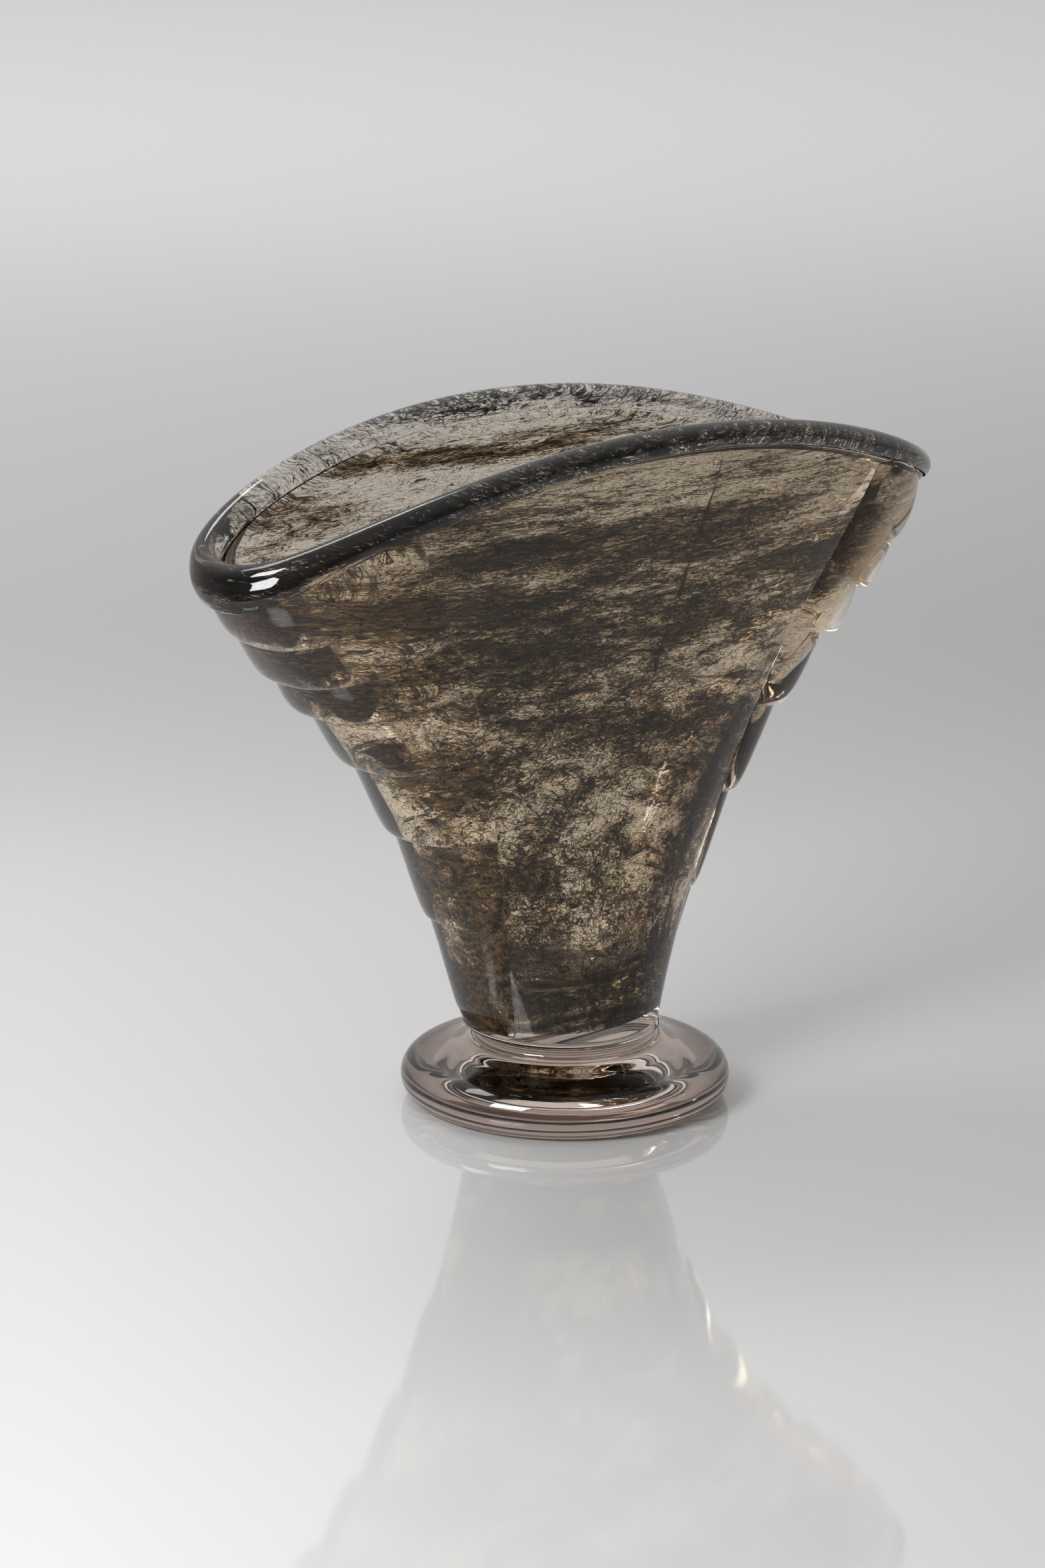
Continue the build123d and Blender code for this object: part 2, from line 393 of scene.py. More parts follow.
def drum_place(rows):
    """A point's place on the drum: the share of the way round gives the angle, and the height is
    packed closer towards the rim, where the glass was drawn out thin."""
    step = np.linalg.norm(np.roll(rows, -1, 1) - rows, axis=-1)
    turn = 2 * pi * (np.cumsum(step, 1) - step) / step.sum(1, keepdims=True)
    reach = np.minimum(1, np.linalg.norm(rows[..., :2], axis=-1) / HALF_DEPTHS[0]) * DRUM_RADIUS
    rise = np.clip((rows[..., 2] - FILAMENT_FLOOR) / (RIM_HEIGHT - FILAMENT_FLOOR), 0, 1)
    height = rows[..., 2] * MM * (1 + RIM_DRAW * rise**2)
    return np.stack([reach * np.cos(turn), reach * np.sin(turn), height], -1)


web_places = np.concatenate([drum_place(web_outside), drum_place(web_inside)[::-1]])
web_slots = np.repeat([THREADS, HAZE], [len(web_outside), len(web_inside) - 1])
web = shell_mesh("oxide_web", web_rows, web_slots, web_places)
print("web faces:", len(web.data.polygons))

# %% [markdown]
# ## Ribbed panels
# Each panel was pressed on hot and creased with a tool, so its ribs lie like shingles: each
# swells most near its lower edge and tucks in under the next one up. The panel's skin is the
# casing's own surface moved outwards by the rib's thickness, which dies away at the seam. Sculpting
# would do it too, but a formula keeps the creases even and the pad's back exactly on the casing.

# %% Rib profile
CREASE_SHARES = np.array([0.0, 0.25, 0.45, 0.62, 0.755, 0.835, 0.915, 1.0])
CREASES = PANEL_BASE + (PANEL_TOP - PANEL_BASE) * CREASE_SHARES
FULL_BELLY = 8.5
BELLIES = FULL_BELLY * np.array([0.34, 0.48, 0.62, 0.78, 1.0, 1.0, 0.72])
CREASE_SHARE = 0.58
BELLY_LOWNESS = 0.45
BELLY_ROUNDNESS = 0.8


def rib_thickness(height):
    """The panel's thickness against height: steep below each belly, long and slack above it."""
    rib = np.clip(np.searchsorted(CREASES, height) - 1, 0, len(BELLIES) - 1)
    low, high = CREASES[rib], CREASES[rib + 1]
    share = np.clip((height - low) / (high - low), 0, 1)
    swell = np.sin(pi * share**BELLY_LOWNESS) ** BELLY_ROUNDNESS
    below = np.concatenate([BELLIES[:1], BELLIES])[rib]
    crease = CREASE_SHARE * (BELLIES[rib] * (1 - share) + below * share)
    return crease + (BELLIES[rib] - crease) * swell


print("thickest rib:", rib_thickness(np.linspace(PANEL_BASE, PANEL_TOP, BESIDE_ROWS)).max().round(2), "mm")

# %% Panels
NORMAL_SHARE = 0.72
PANEL_EDGE = 4.0
EDGE_ROUNDNESS = 0.75
PANEL_END = 9.0


def grid_normals(points):
    """The outward direction at each point of a grid, from the slopes along its two ways."""
    normal = np.cross(np.gradient(points, axis=1), np.gradient(points, axis=0))
    return normal / np.linalg.norm(normal, axis=-1, keepdims=True)


def ribbed_panel(name, side, rows=420, columns=60):
    """A pad on one end: its back lies on the casing, and its front is moved outwards by the rib's
    thickness times a bluff fall at the seams and a round one at the base and the top."""
    across = np.sin(np.linspace(-pi / 2, pi / 2, columns + 1))
    up = np.linspace(0, 1, rows + 1)
    angle, t = panel_grid(across, up, side)
    back = fan(t, angle, 0)
    outward = grid_normals(back)
    height = tip_height(t, angle)
    edge = (1 - np.abs(across) ** PANEL_EDGE) ** EDGE_ROUNDNESS
    cap = np.clip(np.minimum(height - PANEL_BASE, PANEL_TOP - height) / PANEL_END, 0, 1)
    cap = 1 - (1 - cap) ** 2
    thickness = NORMAL_SHARE * rib_thickness(height) * edge[None, :] * cap
    front = back + outward * (thickness + JOIN_GAP)[..., None]
    back = back + outward * JOIN_GAP
    number = np.arange(back.shape[0] * back.shape[1]).reshape(back.shape[:2])
    inner = number.copy()
    within = (rows - 1, columns - 1)
    inner[1:-1, 1:-1] = number.size + np.arange(within[0] * within[1]).reshape(within)
    points = np.concatenate([front.reshape(-1, 3), back[1:-1, 1:-1].reshape(-1, 3)])
    faces = quads(rows + 1, columns + 1, False)
    backs = inner.ravel()[faces][:, ::-1]
    slots = np.repeat([GLASS, JOIN], len(faces))
    return make_mesh(name, points, faces.tolist() + backs.tolist(), slots)


left_panel = ribbed_panel("ribbed_end_left", -1)
right_panel = ribbed_panel("ribbed_end_right", 1)
print("panel faces:", len(left_panel.data.polygons))

# %% [markdown]
# ## Lip
# The rim is a round bead. A circle is carried along the line where the middle of the wall meets
# the arch, and its lower side is cut flat where it sits on the wall. A second, smaller bead
# inside it holds the web, which was folded over into the lip and makes it look almost black. At
# the left end the roll sags outwards over the wall. A curve with a round bevel would give an even
# tube only, so the circle's radius is worked out here, point by point.

# %% Line of the rim
def rim_frame(angle):
    """Points along the rim with the two directions across the bead: outwards and up."""
    t = top_station(angle, WALL / 2, 0.0)
    centre = fan(t, angle, WALL / 2)
    along = np.roll(centre, -1, 0) - np.roll(centre, 1, 0)
    along /= np.linalg.norm(along, axis=1, keepdims=True)
    arch_centre = np.array([LEANS[3], 0, RIM_HEIGHT - ARCH_RADIUS])
    upright = (centre - arch_centre) * np.array([1, 0, 1])
    outward = np.cross(along, upright)
    outward /= np.linalg.norm(outward, axis=1, keepdims=True)
    return centre, outward, np.cross(outward, along)


# %% Lip bead
ROLL_SWELL = 6.5
ROLL_PLACE = pi + 0.18
ROLL_SPREAD = 0.42
ROLL_TURN = radians(-60)
ROLL_CLEARANCE = 0.2


def bead_rows(angle, radius, flat, turns):
    """The bead's skin: a circle at each point of the rim, held above the flat of its seat. At the
    left end the roll of glass sags outwards and down, beyond the wall."""
    centre, outward, up = rim_frame(angle)
    turn = np.linspace(0, 2 * pi, turns, endpoint=False)[None, :] + pi / turns
    swell = ROLL_SWELL * np.exp(-(((angle - ROLL_PLACE) / ROLL_SPREAD) ** 2))[:, None]
    sag = np.clip(np.cos(turn - ROLL_TURN), 0, 1) ** 2
    reach = radius * (1 + swell * sag / BEAD_RADIUS)
    out, rise = reach * np.cos(turn), reach * np.sin(turn)
    over_wall = out < WALL / 2 + ROLL_CLEARANCE
    rise = np.where(over_wall, np.maximum(rise, -flat), rise)
    return centre[:, None] + outward[:, None] * out[..., None] + up[:, None] * rise[..., None]


def ring_mesh(name, shells):
    """Closed rings of points, each wrapped both ways, with a slot for each face of each ring."""
    points, faces, slots, places, used = [], [], [], [], 0
    for rows, face_slots in shells:
        count, turns = rows.shape[:2]
        looped = np.concatenate([np.arange(count * turns), np.arange(turns)])
        grid = looped[quads(count + 1, turns, True)]
        points.append(rows.reshape(-1, 3))
        faces += (grid[:, ::-1] + used).tolist()
        slots.append(np.tile(face_slots, count))
        places.append(drum_place(rows.swapaxes(0, 1)).swapaxes(0, 1).reshape(-1, 3))
        used += count * turns
    return make_mesh(name, np.concatenate(points), faces, np.concatenate(slots), np.concatenate(places))


LIP_CORE = 0.72
CORE_LIFT = 0.4
RIM_POINTS = 480
TURNS = 36
rim_angle = np.linspace(0, 2 * pi, RIM_POINTS, endpoint=False)
skin = bead_rows(rim_angle, BEAD_RADIUS, BEAD_SEAT, TURNS)
core = bead_rows(rim_angle, BEAD_RADIUS * LIP_CORE, BEAD_SEAT - CORE_LIFT, TURNS)
turn_middle = np.sin(np.linspace(0, 2 * pi, TURNS, endpoint=False) + 2 * pi / TURNS)
skin_slots = np.where(turn_middle * BEAD_RADIUS < -BEAD_SEAT, JOIN, GLASS)
lip = ring_mesh("rolled_lip", [(skin, skin_slots), (core, np.full(TURNS, WEB))])
print("lip faces:", len(lip.data.polygons))

# %% [markdown]
# ## Foot and collar
# The foot was shaped as a disc of clear glass while the vase turned, so it is one profile turned
# about the axis: a flat ground base, a thick round edge and a top that sweeps up to the collar.
# The collar is a short ring drawn in at its waist. Blender's Screw modifier could turn a profile as
# well; here the same grid function as for the wall does it, which also tells joins from open faces.

# %% Turning
FOOT_RADIUS = 48.0
EDGE_HEIGHT = 6.5


def arc_from_equator(end, steps):
    """An arc that leaves the foot's widest ring upright and ends at a given point."""
    across, rise = FOOT_RADIUS - end[0], end[1] - EDGE_HEIGHT
    radius = (across**2 + rise**2) / (2 * across)
    turn = np.linspace(0, np.arctan2(abs(rise), radius - across), steps)
    height = EDGE_HEIGHT + np.sign(rise) * radius * np.sin(turn)
    return np.stack([FOOT_RADIUS - radius * (1 - np.cos(turn)), height], -1)


def smooth_run(points, start_slope, end_slope, steps):
    """A cubic run between two points with a given slope vector at each end."""
    t = np.linspace(0, 1, steps)[:, None]
    p, q = np.array(points[0]), np.array(points[1])
    a, b = np.array(start_slope), np.array(end_slope)
    near, near_slope = 2 * t**3 - 3 * t**2 + 1, t**3 - 2 * t**2 + t
    far, far_slope = 3 * t**2 - 2 * t**3, t**3 - t**2
    return near * p + near_slope * a + far * q + far_slope * b


def turned(name, profile, slots, columns=192):
    """A profile of radius and height, turned about the upright axis."""
    angle = np.linspace(0, 2 * pi, columns, endpoint=False)
    radius, height = profile[:, :1], profile[:, 1:]
    rows = np.stack(np.broadcast_arrays(radius * np.cos(angle), radius * np.sin(angle), height), -1)
    return shell_mesh(name, rows, slots)


# %% Foot
BASE_RADIUS = 43.0
SHOULDER, SHOULDER_SLOPE = (41.5, 13.3), (-8, 0.4)
FOOT_SWEEP, SWEEP_ARRIVES, SWEEP_LEAVES = (33.0, 15.6), (-6, 3.2), (-4.0, 2.1)
FOOT_NECK, NECK_SLOPE = (28.0, 18.0), (0, 2.4)
POLE_RADIUS = 2
BASE_RINGS = 9
TOP_RINGS = 7
LOWER_STEPS, UPPER_STEPS = 14, 16
DOWN_STEPS, UP_STEPS = 14, 10
lower = arc_from_equator((BASE_RADIUS, 0.0), LOWER_STEPS)[::-1]
upper = arc_from_equator(SHOULDER, UPPER_STEPS)[1:]
sweep_down = smooth_run((SHOULDER, FOOT_SWEEP), SHOULDER_SLOPE, SWEEP_ARRIVES, DOWN_STEPS)[1:]
sweep_up = smooth_run((FOOT_SWEEP, FOOT_NECK), SWEEP_LEAVES, NECK_SLOPE, UP_STEPS)[1:]
base_radii = np.linspace(POLE_RADIUS, BASE_RADIUS, BASE_RINGS + 1)[:-1]
top_radii = np.linspace(FOOT_NECK[0], POLE_RADIUS, TOP_RINGS + 1)[1:]
base_flat = np.stack([base_radii, np.zeros(BASE_RINGS)], -1)
top_flat = np.stack([top_radii, np.full(TOP_RINGS, FOOT_NECK[1])], -1)
foot_profile = np.concatenate([base_flat, lower, upper, sweep_down, sweep_up, top_flat])
foot_slots = np.full(len(foot_profile) - 1, GLASS)
foot_slots[-TOP_RINGS:] = JOIN
foot = turned("glass_foot", foot_profile, foot_slots)
print("foot faces:", len(foot.data.polygons))

# %% Collar
COLLAR_RADIUS = 27.4
COLLAR_WAIST = 26.2
WAIST_STEPS = 12
collar_low, collar_high = FOOT_NECK[1] + JOIN_GAP, HEIGHTS[0]
waist_share = np.linspace(-1, 1, WAIST_STEPS)
waist = COLLAR_WAIST + (COLLAR_RADIUS - COLLAR_WAIST) * waist_share**2
waist_height = (collar_low + collar_high) / 2 + waist_share * (collar_high - collar_low) / 2
collar_radii = np.linspace(POLE_RADIUS, COLLAR_RADIUS, TOP_RINGS + 1)[:-1]
collar_profile = np.concatenate([
    np.stack([collar_radii, np.full(TOP_RINGS, collar_low)], -1),
    np.stack([waist, waist_height], -1),
    np.stack([collar_radii[::-1], np.full(TOP_RINGS, collar_high)], -1),
])
collar_slots = np.full(len(collar_profile) - 1, JOIN)
collar_slots[TOP_RINGS:TOP_RINGS + WAIST_STEPS - 1] = GLASS
collar = turned("glass_collar", collar_profile, collar_slots)
print("collar faces:", len(collar.data.polygons))

# %% [markdown]
# ## Finishes
# The vase has three finishes: clear glass with a smoky rose tint, the see-through join, and the
# dark web. Each is a small tree of shader nodes, so a few helpers come first that add one node,
# join it up and hand back its result.

# %% Node helpers
def new_material(name):
    """An empty node material with its output."""
    material = bpy.data.materials.new(name)
    material.use_nodes = True
    nodes, links = material.node_tree.nodes, material.node_tree.links
    nodes.clear()
    output = nodes.new("ShaderNodeOutputMaterial")
    return material, nodes, links, output


def feed(links, socket, value):
    """Links a node's result to a socket, or sets the socket to a constant."""
    if isinstance(value, bpy.types.NodeSocket):
        links.new(value, socket)
    elif value is not None:
        socket.default_value = value


def math_node(nodes, links, kind, first, second=None, third=None):
    """One sum of up to three values, such as first times second plus third."""
    node = nodes.new("ShaderNodeMath")
    node.operation = kind
    for socket, value in zip(node.inputs, (first, second, third)):
        feed(links, socket, value)
    return node.outputs[0]


def smooth_step(nodes, links, value, low, high):
    """0 below low, 1 above high, and an S-shaped climb between them; high may be the lower one."""
    node = nodes.new("ShaderNodeMapRange")
    node.interpolation_type = "SMOOTHSTEP"
    for name, setting in (("Value", value), ("From Min", low), ("From Max", high)):
        feed(links, node.inputs[name], setting)
    return node.outputs["Result"]


def ramp(nodes, links, value, places, levels):
    """A straight climb from the first level, at the first place, to the second at the second."""
    node = nodes.new("ShaderNodeMapRange")
    settings = dict(zip(("From Min", "From Max", "To Min", "To Max"), (*places, *levels)))
    for name, setting in {"Value": value, **settings}.items():
        feed(links, node.inputs[name], setting)
    return node.outputs["Result"]


def blend_colours(nodes, links, factor, first, second):
    """The first colour where the factor is 0 and the second where it is 1."""
    node = nodes.new("ShaderNodeMix")
    node.data_type = "RGBA"
    for name, setting in (("Factor", factor), ("A", first), ("B", second)):
        feed(links, node.inputs[name], setting)
    return node.outputs["Result"]


def parts_of(nodes, links, vector):
    """The three numbers of a vector, as outputs X, Y and Z."""
    node = nodes.new("ShaderNodeSeparateXYZ")
    links.new(vector, node.inputs[0])
    return node.outputs


def object_place(nodes):
    """A point's place in the piece's own space, in metres."""
    return nodes.new("ShaderNodeTexCoord").outputs["Object"]


def reach_along(nodes, links, vector, direction):
    """How far a vector reaches along a direction: their dot product."""
    node = nodes.new("ShaderNodeVectorMath")
    node.operation = "DOT_PRODUCT"
    links.new(vector, node.inputs[0])
    node.inputs[1].default_value = direction.tolist()
    return node.outputs["Value"]


# %% [markdown]
# Glass that was worked by hand is never quite flat, so a faint slow ripple from a noise texture
# bends its surface. The foot is the thickest glass and shows the tint best. A join takes only a
# trace of the light, so that a fused wall looks like one block.

# %% Clear glass and joins
GLASS_IOR = 1.5
RIPPLE_SCALE = 38.0
RIPPLE_HEIGHT = 0.002


def clear_glass(name, tint, ripple):
    """Smooth glass with a tint, its surface bent by a noise of the given strength."""
    material, nodes, links, output = new_material(name)
    shader = nodes.new("ShaderNodeBsdfPrincipled")
    shader.inputs["Base Color"].default_value = (*tint, 1)
    shader.inputs["Transmission Weight"].default_value = 1.0
    shader.inputs["Roughness"].default_value = 0.0
    shader.inputs["IOR"].default_value = GLASS_IOR
    noise = nodes.new("ShaderNodeTexNoise")
    noise.inputs["Scale"].default_value = RIPPLE_SCALE
    noise.inputs["Detail"].default_value = 2.0
    bump = nodes.new("ShaderNodeBump")
    bump.inputs["Strength"].default_value = ripple
    bump.inputs["Distance"].default_value = RIPPLE_HEIGHT
    links.new(object_place(nodes), noise.inputs["Vector"])
    links.new(noise.outputs["Fac"], bump.inputs["Height"])
    links.new(bump.outputs["Normal"], shader.inputs["Normal"])
    links.new(shader.outputs[0], output.inputs["Surface"])
    return material


def clear_join(name, tint):
    """A face that lets light straight through, with a tint."""
    material, nodes, links, output = new_material(name)
    shader = nodes.new("ShaderNodeBsdfTransparent")
    shader.inputs["Color"].default_value = (*tint, 1)
    links.new(shader.outputs[0], output.inputs["Surface"])
    return material


body_glass = clear_glass("body_glass", (0.97, 0.94, 0.89), 0.10)
foot_glass = clear_glass("foot_glass", (0.50, 0.39, 0.335), 0.06)
lip_glass = clear_glass("lip_glass", (0.88, 0.81, 0.72), 0.06)
fused_join = clear_join("fused_join", (0.99, 0.98, 0.97))
print("clear finishes:", [finish.name for finish in (body_glass, foot_glass, lip_glass, fused_join)])

# %% [markdown]
# ## The dark web
# The web is metal oxide that crept over the first gather as hairs, cells and smoky clouds. Hairs
# are the lines along which a noise passes through its middle value, and cells are the borders of a
# Voronoi pattern. Both are cheap and stay sharp at any size, which a painted picture would not.
# All of them are read from the drum's place that each point of the web remembers.

# %% Hairs and cells
def web_noise(nodes, links, vector, scale, detail, rough=0.6):
    """A cloudy noise of a given fineness."""
    noise = nodes.new("ShaderNodeTexNoise")
    noise.inputs["Scale"].default_value = scale
    noise.inputs["Detail"].default_value = detail
    noise.inputs["Roughness"].default_value = rough
    links.new(vector, noise.inputs["Vector"])
    return noise


def moved(nodes, links, vector, offset):
    """A place moved by an offset, so that a second noise doesn't repeat the first."""
    shift = nodes.new("ShaderNodeVectorMath")
    shift.operation = "ADD"
    links.new(vector, shift.inputs[0])
    shift.inputs[1].default_value = offset
    return shift.outputs[0]


def hair(nodes, links, vector, scale, width):
    """Long curling hairs: the lines along which a noise field passes through its middle value."""
    field = web_noise(nodes, links, vector, scale, 2.0).outputs["Fac"]
    away = math_node(nodes, links, "ABSOLUTE", math_node(nodes, links, "SUBTRACT", field, 0.5))
    return math_node(nodes, links, "SUBTRACT", 1.0, smooth_step(nodes, links, away, 0.0, width))


def crackle(nodes, links, vector, scale, width):
    """A net of fine threads: the borders of random cells."""
    cells = nodes.new("ShaderNodeTexVoronoi")
    cells.feature = "DISTANCE_TO_EDGE"
    cells.inputs["Scale"].default_value = scale
    links.new(vector, cells.inputs["Vector"])
    edge = smooth_step(nodes, links, cells.outputs["Distance"], 0.0, width)
    return math_node(nodes, links, "SUBTRACT", 1.0, edge)


# %% [markdown]
# The clouds mix a large noise with a small one. They lie thicker near the heel, where the glass was
# stretched least, and thinner on the back. The right end is almost clear, so that its ribs catch
# the light.

# %% Where the web is dense
WARP_SCALE, WARP_REACH = 110.0, 0.009
LARGE_CLOUDS, LARGE_SHARE = 24.0, 0.58
SMALL_CLOUDS, SMALL_SHARE = 100.0, 0.42
CLOUD_EDGES = (0.41, 0.61)
HEEL_ZONE, HEEL_DENSER = (0.085, 0.035), 0.04
LEFT_ZONE, LEFT_THINNER = (-0.72 * DRUM_RADIUS, -0.95 * DRUM_RADIUS), 0.02
BACK_ZONE, BACK_THINNER = (-0.2 * DRUM_RADIUS, 0.6 * DRUM_RADIUS), 0.045
RIGHT_ZONE, RIGHT_CLEARER = (0.91 * DRUM_RADIUS, 0.975 * DRUM_RADIUS), 0.7


def web_fields(nodes, links):
    """The drum's place bent about by a noise, how dense the clouds are there, how much of the web
    is present, and how near the left end is."""
    attribute = nodes.new("ShaderNodeAttribute")
    attribute.attribute_name = "web_place"
    drum = attribute.outputs["Vector"]
    warp = web_noise(nodes, links, drum, WARP_SCALE, 3.0)
    shift = nodes.new("ShaderNodeVectorMath")
    shift.operation = "MULTIPLY_ADD"
    links.new(warp.outputs["Color"], shift.inputs[0])
    shift.inputs[1].default_value = (WARP_REACH, WARP_REACH, WARP_REACH)
    links.new(drum, shift.inputs[2])
    warped = shift.outputs[0]
    large = web_noise(nodes, links, drum, LARGE_CLOUDS, 3.0, 0.5).outputs["Fac"]
    small = web_noise(nodes, links, warped, SMALL_CLOUDS, 5.0, 0.65).outputs["Fac"]
    mixed = math_node(nodes, links, "MULTIPLY", large, LARGE_SHARE)
    mixed = math_node(nodes, links, "MULTIPLY_ADD", small, SMALL_SHARE, mixed)
    spot = parts_of(nodes, links, drum)
    near_heel = smooth_step(nodes, links, spot["Z"], *HEEL_ZONE)
    left_end = smooth_step(nodes, links, spot["X"], *LEFT_ZONE)
    back = smooth_step(nodes, links, spot["Y"], *BACK_ZONE)
    for zone, change in ((near_heel, HEEL_DENSER), (left_end, -LEFT_THINNER), (back, -BACK_THINNER)):
        mixed = math_node(nodes, links, "MULTIPLY_ADD", zone, change, mixed)
    right_end = smooth_step(nodes, links, spot["X"], *RIGHT_ZONE)
    present = math_node(nodes, links, "MULTIPLY_ADD", right_end, -RIGHT_CLEARER, 1.0)
    return warped, smooth_step(nodes, links, mixed, *CLOUD_EDGES), present, left_end


# %% [markdown]
# The oxide itself is dull and dark, brown where it lies thin. Between its threads the light goes
# straight on, so a mix of a diffuse and a transparent shader is enough: the glass in front of it
# and behind it does the bending. Golden glints are painted into the colour of some threads, most near
# the left end, where they show through the ribs as painted highlights. The lip also holds tiny pale seeds.

# %% Oxide and seeds
# A golden brown that is painted in as glints, where light seems to catch the threads.
PAINTED_GLINT_GOLD = (0.22, 0.128, 0.042)
SEED_COLOUR = (0.55, 0.50, 0.42)
THIN_COVER, FULL_COVER, MOST_COVER = 0.1, 0.6, 0.985
SEED_SCALE, SEED_RADIUS, SEED_FREE_SHARE = 750.0, 0.17, 0.72


def web_shader(nodes, links, output, cover, pale, dark, clear, seeds=None, painted_glint=None):
    """Dark oxide where the cover is full, brown where it is thin, and tinted glass in between; the
    glint factor says where a painted golden glint is mixed into the colour, and seeds where it holds pale
    specks."""
    thickness = smooth_step(nodes, links, cover, THIN_COVER, FULL_COVER)
    colour = blend_colours(nodes, links, thickness, (*pale, 1), (*dark, 1))
    # A golden glint is painted into the colour here, where the glint factor says.
    if painted_glint is not None:
        colour = blend_colours(nodes, links, painted_glint, colour, (*PAINTED_GLINT_GOLD, 1))
    if seeds is not None:
        colour = blend_colours(nodes, links, seeds, colour, (*SEED_COLOUR, 1))
    oxide = nodes.new("ShaderNodeBsdfDiffuse")
    links.new(colour, oxide.inputs["Color"])
    glass = nodes.new("ShaderNodeBsdfTransparent")
    feed(links, glass.inputs["Color"], clear)
    mix = nodes.new("ShaderNodeMixShader")
    links.new(math_node(nodes, links, "MINIMUM", cover, MOST_COVER), mix.inputs["Fac"])
    links.new(glass.outputs[0], mix.inputs[1])
    links.new(oxide.outputs[0], mix.inputs[2])
    links.new(mix.outputs[0], output.inputs["Surface"])


def pale_seeds(nodes, links):
    """Tiny round specks, one in each of a share of random cells."""
    cells = nodes.new("ShaderNodeTexVoronoi")
    cells.inputs["Scale"].default_value = SEED_SCALE
    links.new(object_place(nodes), cells.inputs["Vector"])
    draw = parts_of(nodes, links, cells.outputs["Color"])["X"]
    chosen = math_node(nodes, links, "GREATER_THAN", draw, SEED_FREE_SHARE)
    dot = math_node(nodes, links, "LESS_THAN", cells.outputs["Distance"], SEED_RADIUS)
    return math_node(nodes, links, "MULTIPLY", dot, chosen)


# %% [markdown]
# The web's outer face carries the threads, five sizes of hair over one net of cells, and its inner
# face a brown haze that fills the clouds. Two thin faces give the depth of the real layer without
# the noise and the cost of a volume.

# %% Threads and haze
STRANDS = ((62.0, 0.55), (115.0, 0.8), (210.0, 1.0), (390.0, 1.15), (720.0, 1.3))
STRAND_STEP = (1.7, 0.3, 0.9)
CELL_SCALE, CELL_WIDTH_SHARE = 190.0, 0.7
FRONT_ZONE = (0.012, -0.008)
# Where the painted golden glints fall: flecks of a fine noise, some everywhere and more near the left end.
GLINT_FLECK_SCALE, GLINT_FLECK_EDGES = 520.0, (0.40, 0.66)
GLINT_EVERYWHERE, GLINT_AT_LEFT = 0.3, 0.7
THREAD_BROWN, THREAD_BLACK = (0.016, 0.010, 0.004), (0.004, 0.003, 0.002)
MIST_SCALE, MIST_EDGES = 800.0, (0.3, 0.75)
HAZE_BROWN, HAZE_BLACK = (0.17, 0.112, 0.045), (0.006, 0.004, 0.003)
PALE_AMBER, DEEP_AMBER = (1.0, 0.955, 0.87, 1), (0.86, 0.63, 0.33, 1)


def dark_threads(name, least, most, front=0.0, seeds=0.0, glint_strength=0.0):
    """Threads that thicken where the clouds are dense: least and most set how wide they are, front
    how much wider on the side that faces -Y, seeds how pale the specks are, and the glint strength
    how much painted golden glint the threads get."""
    material, nodes, links, output = new_material(name)
    warped, cloud, present, left_end = web_fields(nodes, links)
    width = math_node(nodes, links, "MULTIPLY_ADD", cloud, most, least)
    if front:
        spot = parts_of(nodes, links, object_place(nodes))
        facing = smooth_step(nodes, links, spot["Y"], *FRONT_ZONE)
        width = math_node(nodes, links, "MULTIPLY_ADD", facing, front, width)
    cell_width = math_node(nodes, links, "MULTIPLY", width, CELL_WIDTH_SHARE)
    threads = crackle(nodes, links, warped, CELL_SCALE, cell_width)
    for number, (scale, share) in enumerate(STRANDS):
        place = moved(nodes, links, warped, [step * number for step in STRAND_STEP])
        strand = hair(nodes, links, place, scale, math_node(nodes, links, "MULTIPLY", width, share))
        threads = math_node(nodes, links, "MAXIMUM", threads, strand)
    threads = math_node(nodes, links, "MULTIPLY", threads, present)
    painted_glint = specks = None
    # Painted golden glints: flecks of a fine noise, some everywhere and more near the left end.
    if glint_strength:
        glint_fleck = web_noise(nodes, links, warped, GLINT_FLECK_SCALE, 4.0).outputs["Fac"]
        glint_fleck = smooth_step(nodes, links, glint_fleck, *GLINT_FLECK_EDGES)
        glint_share = math_node(nodes, links, "MULTIPLY_ADD", left_end, GLINT_AT_LEFT * glint_strength, GLINT_EVERYWHERE * glint_strength)
        painted_glint = math_node(nodes, links, "MULTIPLY", glint_fleck, glint_share)
    if seeds:
        specks = math_node(nodes, links, "MULTIPLY", pale_seeds(nodes, links), seeds)
    web_shader(nodes, links, output, threads, THREAD_BROWN, THREAD_BLACK, (1, 1, 1, 1), specks, painted_glint)
    return material


def brown_haze(name, least, most):
    """A thin brown veil behind the threads: a fine mist plus the clouds' density squared, over
    glass that turns from pale to deep amber."""
    material, nodes, links, output = new_material(name)
    warped, cloud, present, _ = web_fields(nodes, links)
    mist = web_noise(nodes, links, warped, MIST_SCALE, 3.0, 0.7).outputs["Fac"]
    mist = math_node(nodes, links, "MULTIPLY", smooth_step(nodes, links, mist, *MIST_EDGES), least)
    thick = math_node(nodes, links, "POWER", cloud, 2.0)
    veil = math_node(nodes, links, "MULTIPLY_ADD", thick, most, mist)
    veil = math_node(nodes, links, "MULTIPLY", veil, present)
    depth = math_node(nodes, links, "MULTIPLY", cloud, present)
    amber = blend_colours(nodes, links, depth, PALE_AMBER, DEEP_AMBER)
    web_shader(nodes, links, output, veil, HAZE_BROWN, HAZE_BLACK, amber)
    return material


# The body's threads carry the painted golden glints.
oxide = dark_threads("dark_filaments", 0.009, 0.078, glint_strength=0.9)
haze = brown_haze("filament_haze", 0.06, 0.45)
lip_oxide = dark_threads("lip_filaments", 0.006, 0.05, front=0.035, seeds=0.5)
print("nodes in the threads' finish:", len(oxide.node_tree.nodes))

